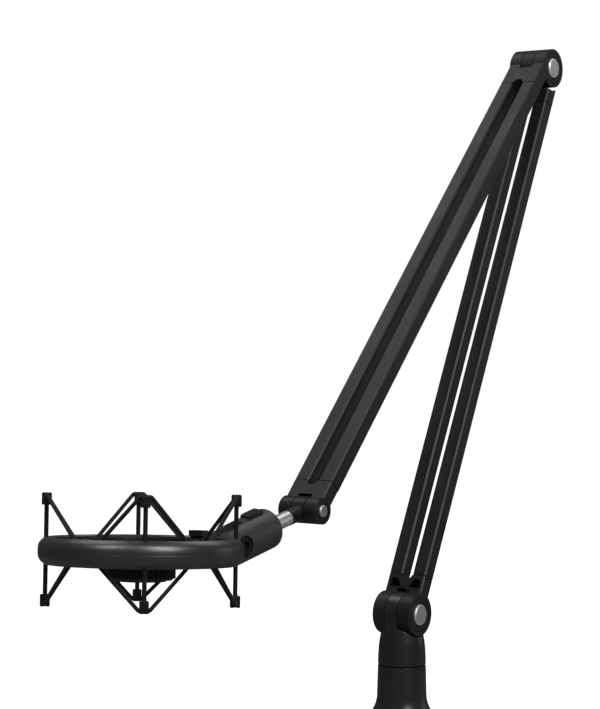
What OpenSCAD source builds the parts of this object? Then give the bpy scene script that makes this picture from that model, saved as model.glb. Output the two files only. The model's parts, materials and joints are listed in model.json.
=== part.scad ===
// Desk microphone stand: a two-section boom arm on a clamped swivel base, with a spider shock mount.
// Units are millimetres. The origin lies on the swivel axis at the desk top.
// Z is up, and the boom reaches along +X.

/* [Desk clamp] */
// Thickness of the plate that lies on the desk
plate_t = 6; // [5:0.5:9]
// Thickness of the rubber liner under the plate
liner_t = 2; // [1:0.5:3]
// Width of the clamp bracket
bracket_w = 40; // [34:1:50]
// Distance from the swivel axis to the inner face of the spine
throat = 44; // [40:1:60]
// Thickness of the spine
spine_t = 9; // [7:0.5:12]
// Distance from the desk top to the inner face of the lower jaw
jaw_depth = 60; // [56:1:75]
// Thickness of the lower jaw
jaw_t = 12; // [10:0.5:16]
// Gap between the liner and the clamp pad as drawn
jaw_gap = 25; // [12:1:36]
// Diameter of the clamp screw
clamp_screw_d = 10; // [8:0.5:12]
// Diameter of the clamp pad
pad_d = 34; // [28:1:36]
// Diameter of the hand knob
knob_d = 36; // [30:1:44]

/* [Swivel base] */
// Diameter of the base flange
flange_d = 70; // [66:1:76]
// Radius of the flared skirt
cove_r = 18; // [16:0.5:19]
// Diameter of the riser under the swivel seam
riser_d = 29.2; // [28:0.2:32]
// Height of the shoulder axis over the desk
shoulder_z = 79; // [78:0.5:84]
// Distance from the shoulder axis down to the swivel seam
seam_drop = 31.4; // [29:0.2:34]
// Diameter of the steel swivel shaft
swivel_d = 12; // [10:0.5:13]

/* [Arms] */
// Length of each arm between its two pins, along the rails
arm_len = 380; // [300:5:450]
// Width of each arm over both rails
arm_w = 26; // [25:0.2:30]
// Width of the open slot between the rails
slot_w = 7.2; // [6:0.1:8.4]
// Depth of the rails
rail_d = 9.8; // [8:0.1:10.4]
// Wall of the rails
rail_wall = 1.3; // [1:0.1:1.6]
// Chamfer along the edges of the rails
rail_chamfer = 0.9; // [0.5:0.1:1.2]
// Offset of the elbow pin from the foot and wrist pins, towards the inside of the fold
elbow_off = 5.6; // [5:0.1:7]
// Offset of the rails from their foot and wrist pins
rail_shift = 0.3; // [0:0.1:0.8]
// Lean of the lower arm back from vertical
lower_lean = 25.96; // [10:0.5:40]
// Lean of the upper arm from vertical
upper_lean = 43.13; // [32:0.5:80]
// Distance from the shoulder pin to the lower end of the lower rails
foot_joint = 23.3; // [22:0.1:28]
// Distance from the elbow pin to the upper ends of the rails
elbow_joint = 24.3; // [23:0.1:28]
// Distance from the wrist pin to the ends of the upper rails
wrist_joint = 17.7; // [17:0.1:22]
// How far the rounded slot ends reach past the rail ends
slot_reach = 3; // [2:0.1:4]

/* [Knuckles] */
// Radius of the shoulder knuckle
shoulder_r = 13; // [12.5:0.1:14]
// Radius of the elbow knuckle
elbow_r = 12.7; // [12.5:0.1:14]
// Radius of the wrist knuckle
wrist_r = 7.65; // [7.4:0.05:8.2]
// Width of the middle tongue of every knuckle
tongue_w = 8.2; // [7.8:0.1:8.8]
// Gap on each side of the tongue, which a friction washer fills
washer_gap = 0.5; // [0.4:0.05:0.7]
// Room left in the forks around the large tongues
web_gap = 2.1; // [1.5:0.1:2.5]
// Room left in the wrist fork around its tongue
wrist_web_gap = 1.7; // [1.2:0.1:2]
// How far the pin caps stand out of the knuckle faces
cap_proud = 0.9; // [0.4:0.1:1.5]

/* [Wrist and adapter] */
// Angle of the stem below horizontal
stem_drop = 11.7; // [0:0.5:30]
// Diameter of the black stem
stem_d = 9.1; // [8.8:0.1:9.4]
// Distance from the wrist pin to the end of the black stem
stem_len = 17; // [15:0.5:20]
// Diameter of the silver neck
neck_d = 8.7; // [8:0.1:9]
// Diameter of the threaded end of the stud
stud_d = 9.4; // [9:0.1:9.6]
// Diameter of the adapter barrel
barrel_d = 23.1; // [22:0.1:26]
// Distance from the wrist pin to the rear face of the barrel
barrel_start = 36.5; // [34:0.5:40]
// Distance from the wrist pin to the tilt pivot
pivot_s = 70.5; // [69:0.5:75]
// Roll of the barrel about the stud
barrel_roll = 1.9; // [-10:0.1:10]
// Turn of the lock slide about the barrel, away from its top
slide_turn = 8; // [0:1:20]

/* [Shock mount] */
// Upward tilt of the ring
ring_tilt = 3.7; // [0:0.1:20]
// Distance from the tilt pivot to the centre of the ring
ring_reach = 75; // [74:0.2:90]
// Outer radius of the ring
ring_r = 53.2; // [48:0.2:58]
// Thickness of the ring's wall
ring_wall = 8; // [7.4:0.1:9]
// Height of the ring
ring_h = 14; // [12:0.5:18]
// Distance from the outside of the ring to the middle of the posts
post_inset = 4.3; // [3.8:0.1:4.6]
// Diameter of the posts
post_d = 2.4; // [2:0.1:3]
// Height of the post tips above the middle of the ring
post_up = 29.8; // [26:0.2:36]
// Depth of the post tips below the middle of the ring
post_down = 28.8; // [26:0.2:36]
// Turn of the four posts about the ring's axis
post_turn = -2.7; // [-5:0.1:5]
// Diameter of the elastic cord
elastic_d = 2; // [1.6:0.1:2.2]
// Distance from the inside of the ring to the seats of the upper elastic on the cradle's hooks
hook_inset = 4.6; // [4.4:0.1:5]
// Radius of the cradle cup
cradle_r = 30; // [28:0.5:32]
// Radius of the threaded bore that takes the microphone
mic_bore_r = 10; // [8:0.25:10.5]
// Radius of the locking nut
nut_r = 18; // [17:0.5:20]
// Height of the locking nut
nut_h = 8.2; // [6:0.2:9]

/* [Hidden] */
$fn = 96;

// Length of cuts that pass right through the knuckles and the barrel
through = 40;

// Clearances
run_gap = 0.05;
seat_gap = 0.02;
face_gap = 0.05;
part_gap = 0.3;

// Colours
BLACK = "#26272a";
RUBBER = "#17181a";
STEEL = "#b9bbbe";
BRASS = "#b89a55";

// Widths along the hinge axes
arm_half = arm_w / 2;
rail_w = (arm_w - slot_w) / 2;
rail_y = (slot_w + rail_w) / 2;
tongue_half = tongue_w / 2;
ear_in = tongue_half + washer_gap;

// Pin hardware of a knuckle: pin radius, cap radius, bush sleeve radius, bush flange radius, cup radius
big_pin = [4, 6.4, 5.6, 9.9, 7.3];
small_pin = [2.2, 3.6, 3.2, 5.7, 4.3];
cup_depth = 1.5;
bush_flange_t = 2.6;
ring_groove = 0.35;
cap_chamfer = 0.7;

// Vertical places on the base
flange_z = plate_t + liner_t;
seam_z = shoulder_z - seam_drop;
riser_r = riser_d / 2;
flange_r = flange_d / 2;
flange_rim = 4;
swivel_r = swivel_d / 2;
seam_t = 0.8;
bush_r = swivel_r + 3;
bush_bottom = flange_z + 10;
retainer_h = 5;

// Clamp places
screw_r = clamp_screw_d / 2;
pad_t = 6;
pad_rubber_t = 2;
pad_top = -jaw_gap;
pad_bottom = pad_top - pad_rubber_t - pad_t;
socket_r = 6.6;
ball_h = 4;
knob_h = 16;
knob_top = -jaw_depth - jaw_t - 28;

jaw_boss_r = 11;
jaw_boss_h = 3;
jaw_bottom = -jaw_depth - jaw_t;
jaw_front = 16;
neck_cut = 1.8;
neck_play = 0.4;
knob_neck_r = 9;
knob_neck_h = 3;
knob_floor = 4;

// Screws between the flange and the clamp
flange_screw_r = 1.8;
flange_head_r = 4;
flange_head_t = 2;
flange_screw_inset = 9;

// Swivel head: heights from the shoulder axis, and how far the wall lies inside the riser radius there
head_profile = [[-25.5, 0.1], [-19.4, 0.5], [-16.3, 0.9], [-11.4, 1.8], [-7, 2.8]];
shaft_socket = 13;

// Rail ends: plugs of the caps, and the small screws that hold them
plug_len = 14;
screw_inset = 3.7;
screw_shaft_r = 1.2;
screw_depth = 3.6;
screw_head = [2.1, 0.5];

// Rest places of the pins
function turned(p, a) = [p[0] * cos(a) + p[1] * sin(a), -p[0] * sin(a) + p[1] * cos(a)];
elbow_xz = [0, shoulder_z] + turned([elbow_off, arm_len], -lower_lean);
wrist_xz = elbow_xz - turned([-elbow_off, arm_len], -upper_lean);

// Stations along the stud
barrel_r = barrel_d / 2;
bore_end = pivot_s - 11;
slot_back = pivot_s - 9;
slide_from = barrel_start + 7.5;
slide_len = 12.5;
slide_travel = 3.5;
key_from = slide_from + 3;
key_len = 5;
groove_r = stud_d / 2 - 0.9;
fork_half = 3.9;
lug_tongue_half = 3.5;
pivot_r = 3;
recess_r = 5.9;
recess_y = barrel_r - 2.55;
screw_head_r = 5.1;

// Ring frame
ring_drop = 1.2;
ring_half = ring_h / 2;
ring_inner_r = ring_r - ring_wall;
post_circle_r = ring_r - post_inset;
ring_bulge = 3.8;
tip_h = 6.6;
tip_radial = 5.2;
tip_tangent = 4.8;
notch_w = elastic_d + 0.5;
elastic_r = elastic_d / 2;
elastic_gap = 0.3;
tip_saddle = 1.6;
upper_saddle = post_up - tip_saddle;
lower_saddle = -(post_down - tip_saddle);
hook_r = ring_inner_r - hook_inset;
outer_hook_r = hook_r + elastic_d + elastic_gap;
hook_end = ring_inner_r - part_gap;
hook_half = 1.6;
hook_bottom = -0.6;
hook_top = 1.2;
hook_rib_top = 4.6;
saddle_half = 4.5;
saddle_plate_t = 1.3;
saddle_tab = [4.5, 3];
bracket_screw_r = 1.3;
bracket_head = [2.3, 1.3];
floor_bottom = -5.2;
floor_t = 3;
sleeve_r = mic_bore_r + 3;
nut_washer_t = 1.2;
nut_top = floor_bottom - nut_washer_t - 2 * face_gap;
nut_bottom = nut_top - nut_h;
nut_ribs = 40;

// Placement frames

module at_shoulder() {
    translate([0, 0, shoulder_z]) children();
}

module at_lower() {
    at_shoulder() rotate([0, -lower_lean, 0]) children();
}

module at_elbow_upper() {
    translate([elbow_xz[0], 0, elbow_xz[1]]) rotate([0, -upper_lean, 0]) children();
}

module at_upper() {
    translate([wrist_xz[0], 0, wrist_xz[1]]) rotate([0, -upper_lean, 0]) mirror([1, 0, 0]) children();
}

module at_wrist() {
    translate([wrist_xz[0], 0, wrist_xz[1]]) children();
}

module at_stem() {
    at_wrist() rotate([0, stem_drop, 0]) children();
}

module at_barrel() {
    at_stem() rotate([barrel_roll, 0, 0]) children();
}

module at_pivot() {
    at_barrel() translate([pivot_s, 0, 0]) rotate([0, -stem_drop - ring_tilt, 0]) children();
}

module at_ring() {
    at_pivot() translate([ring_reach, 0, -ring_drop]) children();
}

// General shapes

module along_y(r, y0, y1) {
    translate([0, y1, 0]) rotate([90, 0, 0]) cylinder(r = r, h = y1 - y0);
}

module along_x(r, x0, x1) {
    translate([x0, 0, 0]) rotate([0, 90, 0]) cylinder(r = r, h = x1 - x0);
}

module tube_z(r_out, r_in, z0, z1) {
    difference() {
        translate([0, 0, z0]) cylinder(r = r_out, h = z1 - z0);
        translate([0, 0, z0 - 1]) cylinder(r = r_in, h = z1 - z0 + 2);
    }
}

module tube_y(r_out, r_in, y0, y1) {
    difference() {
        along_y(r_out, y0, y1);
        along_y(r_in, y0 - 1, y1 + 1);
    }
}

module block(x0, x1, y0, y1, z0, z1) {
    translate([x0, y0, z0]) cube([x1 - x0, y1 - y0, z1 - z0]);
}

module chamfered_rect(w, d, c) {
    polygon([
        [-w / 2 + c, -d / 2], [w / 2 - c, -d / 2], [w / 2, -d / 2 + c], [w / 2, d / 2 - c],
        [w / 2 - c, d / 2], [-w / 2 + c, d / 2], [-w / 2, d / 2 - c], [-w / 2, -d / 2 + c]
    ]);
}

// Desk clamp

module bracket_profile() {
    x_back = -throat - spine_t;
    polygon([
        [x_back + 4, flange_z], [flange_r - 8, flange_z], [flange_r - 8, liner_t], [3 - throat, liner_t],
        [-throat, liner_t - 3], [-throat, 5 - jaw_depth], [5 - throat, -jaw_depth], [jaw_front, -jaw_depth],
        [jaw_front, jaw_bottom + 3], [jaw_front - 3, jaw_bottom], [x_back + 8, jaw_bottom],
        [x_back, jaw_bottom + 8], [x_back, flange_z - 4]
    ]);
}

module screw_places() {
    for (a = [60, 180, 300]) rotate([0, 0, a]) translate([flange_r - flange_screw_inset, 0, 0]) children();
}

module clamp_bracket() {
    color(BLACK) difference() {
        union() {
            translate([0, bracket_w / 2, 0]) rotate([90, 0, 0]) linear_extrude(bracket_w) bracket_profile();
            translate([0, 0, liner_t]) cylinder(r = flange_r, h = plate_t);
            translate([0, 0, jaw_bottom - jaw_boss_h]) cylinder(r = jaw_boss_r, h = jaw_t + jaw_boss_h);
        }
        translate([0, 0, jaw_bottom - jaw_boss_h - 1])
            cylinder(r = screw_r + run_gap, h = jaw_t + jaw_boss_h + 2);
        screw_places() translate([0, 0, liner_t - 1]) {
            cylinder(r = flange_screw_r + 0.4, h = plate_t + 2);
            cylinder(r = flange_head_r + 0.2, h = flange_head_t + 1.4);
        }
    }
}

module clamp_liner() {
    color(RUBBER) {
        cylinder(r = flange_r - 1, h = liner_t);
        block(3.5 - throat, 0, 1 - bracket_w / 2, bracket_w / 2 - 1, 0, liner_t);
    }
}

module clamp_screw() {
    color(STEEL) {
        screw_from = knob_top - knob_h + knob_floor;
        translate([0, 0, screw_from]) cylinder(r = screw_r, h = pad_bottom - 1 - screw_from);
        translate([0, 0, pad_bottom - 1]) cylinder(r = screw_r - neck_cut, h = 2.2);
        translate([0, 0, pad_bottom + 1.2]) cylinder(r1 = screw_r - neck_cut, r2 = socket_r - 0.6, h = 1);
        translate([0, 0, pad_bottom + 2.2]) cylinder(r = socket_r - 0.6, h = ball_h - 2.4);
    }
}

module clamp_knob() {
    lobe_r = 5.5;
    color(BLACK) difference() {
        union() {
            translate([0, 0, knob_top - knob_h]) cylinder(r = knob_d / 2 - 3, h = knob_h - 2);
            for (i = [0:5]) rotate([0, 0, 60 * i]) translate([knob_d / 2 - lobe_r, 0, knob_top - knob_h])
                cylinder(r = lobe_r, h = knob_h - 3, $fn = 32);
            translate([0, 0, knob_top - knob_neck_h]) cylinder(r = knob_neck_r, h = knob_neck_h);
        }
        translate([0, 0, knob_top - knob_h + knob_floor]) cylinder(r = screw_r, h = knob_h);
    }
}

module clamp_pad() {
    color(BLACK) difference() {
        union() {
            translate([0, 0, pad_bottom]) cylinder(r1 = pad_d / 2 - 5, r2 = pad_d / 2, h = 3);
            translate([0, 0, pad_bottom + 3]) cylinder(r = pad_d / 2, h = pad_t - 3);
        }
        translate([0, 0, pad_bottom - 1]) cylinder(r = screw_r - neck_cut + neck_play, h = 3);
        translate([0, 0, pad_bottom + 0.8]) cylinder(r = socket_r, h = ball_h);
    }
}

module clamp_pad_rubber() {
    color(RUBBER) translate([0, 0, pad_top - pad_rubber_t]) cylinder(r = pad_d / 2 - 1, h = pad_rubber_t);
}

// Swivel base

module base_flange() {
    cove_z = flange_z + flange_rim + cove_r;
    neck_r = riser_r + 0.5;
    color(BLACK) difference() {
        rotate_extrude() polygon(concat(
            [[0, flange_z], [flange_r - 0.8, flange_z], [flange_r, flange_z + 0.8],
             [flange_r, flange_z + flange_rim - 1], [flange_r - 1, flange_z + flange_rim]],
            [for (i = [0:16]) let (a = 90 * i / 16)
                [neck_r + cove_r - cove_r * sin(a), cove_z - cove_r * cos(a)]],
            [[riser_r, seam_z], [0, seam_z]]
        ));
        translate([0, 0, bush_bottom]) cylinder(r = bush_r, h = seam_z);
        translate([0, 0, flange_z - 1]) cylinder(r = bush_r + 1, h = bush_bottom - flange_z + 1.5);
        screw_places() translate([0, 0, flange_z - 1]) cylinder(r = flange_screw_r, h = flange_rim + 0.4);
    }
}

module flange_screws() {
    color(STEEL) screw_places() {
        translate([0, 0, liner_t + 0.4]) cylinder(r = flange_head_r, h = flange_head_t);
        translate([0, 0, liner_t + flange_head_t]) cylinder(r = flange_screw_r, h = plate_t + flange_rim - 3);
    }
}

module swivel_bush() {
    color(BRASS) tube_z(bush_r, swivel_r + run_gap, bush_bottom + 0.6, seam_z);
}

module swivel_washer() {
    color(RUBBER) tube_z(riser_r - 0.7, swivel_r + 0.2, seam_z + face_gap, seam_z + seam_t);
}

module swivel_retainer() {
    color(STEEL) tube_z(swivel_r + 2.4, swivel_r - 1, bush_bottom - retainer_h, bush_bottom - 0.2);
}

module swivel_shaft() {
    color(STEEL) {
        translate([0, 0, bush_bottom]) cylinder(r = swivel_r, h = seam_z + shaft_socket - bush_bottom);
        translate([0, 0, bush_bottom - retainer_h - 0.5]) cylinder(r = swivel_r - 1, h = retainer_h + 1);
    }
}

module swivel_head() {
    head_r = riser_r;
    z0 = seam_z + seam_t - shoulder_z;
    top_z = head_profile[len(head_profile) - 1][0];
    color(BLACK) at_shoulder() difference() {
        union() {
            difference() {
                rotate_extrude() polygon(concat(
                    [[0, z0], [head_r - 0.3, z0], [head_r, z0 + 0.3]],
                    [for (k = head_profile) [head_r - k[1], k[0]]],
                    [[0, top_z]]
                ));
                along_y(shoulder_r + 0.5, tongue_half, through);
                along_y(shoulder_r + 0.5, -through, -tongue_half);
            }
            along_y(shoulder_r, -tongue_half, tongue_half);
            intersection() {
                block(-shoulder_r, shoulder_r, -tongue_half, tongue_half, -17, -3);
                translate([0, 0, -20]) cylinder(r = head_r - 1.5, h = 20);
            }
        }
        along_y(big_pin[0] + run_gap, -through, through);
        translate([0, 0, z0 - 1]) cylinder(r = swivel_r, h = shaft_socket + 0.3 - seam_t + 1);
    }
}

// Knuckle hardware, drawn about a pin on the Y axis

module knuckle_pin(p) {
    shaft_end = arm_half - cup_depth + face_gap;
    color(STEEL) {
        along_y(p[0], 1.2 - arm_half, shaft_end);
        pin_cap(p);
    }
}

module pin_cap(p) {
    y0 = arm_half - cup_depth + face_gap;
    y1 = arm_half + cap_proud;
    along_y(p[1], y0, y1 - cap_chamfer);
    translate([0, y1 - cap_chamfer, 0]) rotate([-90, 0, 0])
        cylinder(r1 = p[1], r2 = p[1] - cap_chamfer, h = cap_chamfer);
}

module knuckle_nut(p) {
    color(STEEL) mirror([0, 1, 0]) difference() {
        pin_cap(p);
        along_y(p[0], 0, arm_half - 1.1);
    }
}

module knuckle_bush(p) {
    difference() {
        union() {
            along_y(p[2], ear_in, arm_half - 1);
            along_y(p[3], arm_half - bush_flange_t, arm_half - 0.1);
        }
        along_y(p[0] + seat_gap, 0, arm_half + 1);
        along_y(p[4], arm_half - cup_depth, arm_half + 1);
    }
}

module knuckle_bushes(p) {
    color(BLACK) {
        knuckle_bush(p);
        mirror([0, 1, 0]) knuckle_bush(p);
    }
}

module knuckle_washers(p, r) {
    color(RUBBER) for (s = [-1, 1]) {
        y = s * (tongue_half + washer_gap / 2);
        t = (washer_gap - 2 * face_gap) / 2;
        tube_y(r, p[0] + run_gap, y - t, y + t);
    }
}

module bush_seats(p) {
    for (s = [0, 1]) mirror([0, s, 0]) {
        along_y(p[2], 0, arm_half + 1);
        along_y(p[3] + ring_groove, arm_half - bush_flange_t, arm_half + 1);
    }
}

// Arms, drawn with the foot or wrist pin at the origin, the rails along Z and the inside of the fold at +X

module arm_section(shift, z0, z1) {
    translate([shift, 0, z0]) linear_extrude(z1 - z0) chamfered_rect(rail_d, arm_w, rail_chamfer);
}

module slot_end(shift, z, up) {
    r = slot_w / 2;
    translate([shift - rail_d, 0, z - up * r]) rotate([0, 90, 0]) cylinder(r = r, h = 2 * rail_d);
    far = z - up * (slot_reach + r + 1);
    block(shift - rail_d, shift + rail_d, -r, r, min(far, z - up * r), max(far, z - up * r));
}

module rail_plugs(shift, z0, z1) {
    play = 0.1;
    translate([shift, 0, z0]) linear_extrude(z1 - z0) for (s = [-1, 1]) translate([0, s * rail_y])
        square([rail_d - 2 * rail_wall - 2 * play, rail_w - 2 * rail_wall - 2 * play], center = true);
}

module rail(shift, side, z0, z1) {
    color(BLACK) difference() {
        translate([shift, side * rail_y, z0]) linear_extrude(z1 - z0) difference() {
            chamfered_rect(rail_d, rail_w, rail_chamfer);
            square([rail_d - 2 * rail_wall, rail_w - 2 * rail_wall], center = true);
        }
        for (z = [z0 + screw_inset, z1 - screw_inset]) translate([shift, side * rail_y, z])
            along_x(screw_shaft_r, 0, rail_d);
    }
}

module rail_screws(shift, z0, z1) {
    face = shift + rail_d / 2;
    ends = [z0 + screw_inset, z1 - screw_inset];
    color(STEEL) for (y = [-rail_y, rail_y]) for (z = ends) translate([0, y, z]) {
        along_x(screw_head[0], face, face + screw_head[1]);
        along_x(screw_shaft_r, face - screw_depth, face + 0.1);
    }
}

module screw_holes(shift, z) {
    face = shift + rail_d / 2;
    for (y = [-rail_y, rail_y]) translate([0, y, z]) along_x(screw_shaft_r, face - screw_depth, face + 1);
}

// Weight-saving pockets in the inner face of a fork cap, beside the slot end
module cap_pockets(shift, z0, z1) {
    depth = 2.2;
    outer = arm_half - 2.4;
    translate([shift + rail_d / 2 - depth, 0, 0]) rotate([90, 0, 90]) linear_extrude(depth + 1)
        for (s = [0, 1]) mirror([s, 0]) polygon([
            [2.9, z0 + 0.8], [3.4, z0], [outer - 0.8, z0], [outer, z0 + 0.8],
            [outer, z1 - 0.8], [outer - 0.8, z1], [5.8, z1]
        ]);
}

module fork_foot(shift, r, p, clear, joint, pocket_z0, pocket_z1) {
    difference() {
        union() {
            arm_section(shift, 0, joint);
            along_y(r, -arm_half, arm_half);
            rail_plugs(shift, joint - 1, joint + plug_len);
        }
        along_y(clear, -ear_in, ear_in);
        slot_end(shift, joint - slot_reach, -1);
        cap_pockets(shift, pocket_z0, pocket_z1);
        bush_seats(p);
        screw_holes(shift, joint + screw_inset);
    }
}

module lower_arm_foot_cap() {
    clear = shoulder_r + web_gap;
    color(BLACK) at_lower()
        fork_foot(rail_shift, shoulder_r, big_pin, clear, foot_joint, foot_joint - 8.2, foot_joint - 2.6);
}

module lower_left_rail() {
    at_lower() rail(rail_shift, -1, foot_joint, arm_len - elbow_joint);
}

module lower_right_rail() {
    at_lower() rail(rail_shift, 1, foot_joint, arm_len - elbow_joint);
}

module lower_rail_screws() {
    at_lower() rail_screws(rail_shift, foot_joint, arm_len - elbow_joint);
}

module lower_arm_elbow_cap() {
    joint = arm_len - elbow_joint;
    color(BLACK) at_lower() difference() {
        union() {
            difference() {
                union() {
                    arm_section(rail_shift, joint, arm_len - 8);
                    rail_plugs(rail_shift, joint - plug_len, joint + 1);
                }
                translate([elbow_off, 0, arm_len]) {
                    along_y(elbow_r + web_gap, tongue_half, through);
                    along_y(elbow_r + web_gap, -through, -tongue_half);
                }
            }
            translate([elbow_off, 0, arm_len]) along_y(elbow_r, -tongue_half, tongue_half);
        }
        translate([elbow_off, 0, arm_len]) along_y(big_pin[0] + run_gap, -through, through);
        slot_end(rail_shift, joint + slot_reach, 1);
        screw_holes(rail_shift, joint - screw_inset);
    }
}

module upper_arm_elbow_cap() {
    joint = arm_len - elbow_joint;
    color(BLACK) at_upper() difference() {
        union() {
            arm_section(-rail_shift, joint, arm_len);
            translate([elbow_off, 0, arm_len]) along_y(elbow_r, -arm_half, arm_half);
            rail_plugs(-rail_shift, joint - plug_len, joint + 1);
        }
        translate([elbow_off, 0, arm_len]) along_y(elbow_r + web_gap, -ear_in, ear_in);
        translate([elbow_off, 0, arm_len]) bush_seats(big_pin);
        slot_end(-rail_shift, joint + slot_reach, 1);
        screw_holes(-rail_shift, joint - screw_inset);
    }
}

module upper_left_rail() {
    at_upper() rail(-rail_shift, -1, wrist_joint, arm_len - elbow_joint);
}

module upper_right_rail() {
    at_upper() rail(-rail_shift, 1, wrist_joint, arm_len - elbow_joint);
}

module upper_rail_screws() {
    at_upper() rail_screws(-rail_shift, wrist_joint, arm_len - elbow_joint);
}

module upper_arm_wrist_cap() {
    clear = wrist_r + wrist_web_gap;
    color(BLACK) at_upper()
        fork_foot(-rail_shift, wrist_r, small_pin, clear, wrist_joint, wrist_joint - 6.4, wrist_joint - 2);
}

// Wrist stem and stud

module wrist_stem() {
    shank_half = tongue_half + 0.4;
    color(BLACK) at_stem() difference() {
        union() {
            along_y(wrist_r, -tongue_half, tongue_half);
            intersection() {
                along_x(stem_d / 2, 0, stem_len);
                union() {
                    block(0, stem_len, -tongue_half, tongue_half, -stem_d, stem_d);
                    block(wrist_r + face_gap, stem_len, -shank_half, shank_half, -stem_d, stem_d);
                }
            }
        }
        along_y(small_pin[0] + run_gap, -through, through);
        along_x(3, wrist_r + 1, stem_len + 1);
    }
}

module mic_stud() {
    color(STEEL) at_stem() difference() {
        union() {
            along_x(3, wrist_r + 1.2, stem_len + 1);
            along_x(neck_d / 2, stem_len, barrel_start + 1);
            along_x(stud_d / 2, barrel_start + 0.6, bore_end - 0.6);
        }
        difference() {
            along_x(stud_d, key_from - 1, key_from + key_len + slide_travel + 1);
            along_x(groove_r, 0, bore_end);
        }
    }
}

// Adapter barrel, drawn with the stud along X

module adapter_barrel() {
    edge = 1.8;
    color(BLACK) at_barrel() difference() {
        union() {
            translate([barrel_start, 0, 0]) rotate([0, 90, 0]) rotate_extrude() polygon(concat(
                [[0, 0]],
                [for (i = [0:6]) [barrel_r - edge + edge * sin(15 * i), edge - edge * cos(15 * i)]],
                [[barrel_r, pivot_s - barrel_start], [0, pivot_s - barrel_start]]
            ));
            intersection() {
                along_x(barrel_r, pivot_s - 1, pivot_s + barrel_r);
                translate([pivot_s, 0, 0]) along_y(barrel_r, -barrel_r, barrel_r);
            }
        }
        along_x(stud_d / 2 + run_gap, barrel_start - 1, bore_end);
        block(slot_back, pivot_s + through, -fork_half, fork_half, -through, through);
        translate([pivot_s, 0, 0]) {
            along_y(pivot_r + run_gap, -through, through);
            along_y(recess_r, recess_y, through);
            along_y(recess_r, -through, -recess_y);
        }
        translate([slot_back - 3, -through / 2, barrel_r]) rotate([0, 9, 0]) cube([through, through, 10]);
        rotate([-slide_turn, 0, 0])
            block(key_from - 0.4, key_from + key_len + slide_travel + 0.4, -2.3, 2.3, 0, through);
    }
}

module lock_slide() {
    w = 6.5;
    edge = 0.9;
    top = barrel_r + 2.1;
    slide_to = slide_from + slide_len;
    color(BLACK) at_barrel() rotate([-slide_turn, 0, 0]) {
        difference() {
            hull() {
                block(slide_from, slide_to, -w / 2, w / 2, barrel_r - 1, top - edge);
                translate([edge, edge, 0])
                    block(slide_from, slide_to - 2 * edge, -w / 2, w / 2 - 2 * edge, barrel_r - 1, top);
            }
            along_x(barrel_r + 0.12, slide_from - 1, slide_to + 1);
        }
        block(key_from, key_from + key_len, -2, 2, groove_r + part_gap, barrel_r + 1);
    }
}

module pivot_screw() {
    color(STEEL) at_barrel() translate([pivot_s, 0, 0]) difference() {
        union() {
            along_y(pivot_r, -recess_y - 1.8, recess_y + 0.1);
            along_y(screw_head_r, recess_y, recess_y + 1.9);
        }
        translate([0, recess_y + 3, 0]) rotate([90, 30, 0]) cylinder(r = 2.9, h = 2.6, $fn = 6);
    }
}

module pivot_nut() {
    color(STEEL) at_barrel() translate([pivot_s, 0, 0]) difference() {
        translate([0, -recess_y, 0]) rotate([90, 0, 0]) cylinder(r = screw_head_r + 0.4, h = 2, $fn = 6);
        along_y(pivot_r, -through, 0);
    }
}

module pivot_washers() {
    mid = (fork_half + lug_tongue_half) / 2;
    t = (fork_half - lug_tongue_half) / 2 - face_gap;
    color(RUBBER) at_barrel() translate([pivot_s, 0, 0]) for (s = [-1, 1])
        tube_y(7.6, pivot_r + run_gap, s * mid - t, s * mid + t);
}

// Shock mount

function ring_side(z) = ring_r - ring_bulge * pow(abs(z) / ring_half, 3.2);

module ring_outline() {
    top_in = ring_inner_r + 0.8;
    polygon(concat(
        [[ring_inner_r, 0.8 - ring_half], [top_in, -ring_half]],
        [for (i = [-10:10]) let (z = ring_half * i / 10) [ring_side(z), z]],
        [[top_in, ring_half], [ring_inner_r, ring_half - 0.8]]
    ));
}

module post_places() {
    for (i = [0:3]) rotate([0, 0, 45 + 90 * i + post_turn]) translate([post_circle_r, 0, 0]) children();
}

module shock_ring() {
    color(BLACK) at_ring() difference() {
        rotate_extrude($fn = 128) ring_outline();
        post_places() translate([0, 0, -ring_h]) cylinder(r = post_d / 2, h = 2 * ring_h);
        bracket_screw_places() {
            along_x(bracket_screw_r, -9, 1);
            along_x(bracket_head[0] + seat_gap, -bracket_head[1] - 0.1, 1);
        }
    }
}

module bracket_screw_places() {
    for (z = [-3, 3]) translate([-ring_inner_r, 0, z]) children();
}

module ring_bracket() {
    back = ring_r + 3.2;
    plate_top = ring_half + saddle_plate_t;
    color(BLACK) difference() {
        union() {
            at_pivot() {
                along_y(8, -lug_tongue_half, lug_tongue_half);
                block(0, ring_reach - ring_r - 2, -lug_tongue_half, lug_tongue_half, -5, 4.5);
            }
            at_ring() {
                difference() {
                    block(-back, 2 - ring_r, -saddle_half, saddle_half, -ring_half + 0.6, plate_top);
                    rotate_extrude($fn = 128) ring_outline();
                    cylinder(r = ring_side(0.9 * ring_half) - 1, h = 3 * ring_h, center = true);
                }
                translate([1 - ring_inner_r, 0, ring_half + seat_gap]) {
                    block(-ring_wall, 0, -saddle_half, saddle_half, 0, saddle_plate_t - seat_gap);
                    block(-saddle_tab[0] - 1, 0, -saddle_half, saddle_half, 0, saddle_tab[1]);
                }
            }
        }
        at_pivot() along_y(pivot_r + run_gap, -through, through);
        at_ring() bracket_screw_places() along_x(bracket_screw_r, -10.5, 0);
    }
}

module bracket_screws() {
    color(STEEL) at_ring() bracket_screw_places() {
        along_x(bracket_head[0], -bracket_head[1], -0.1);
        along_x(bracket_screw_r, -10.2, -0.5);
    }
}

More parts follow.
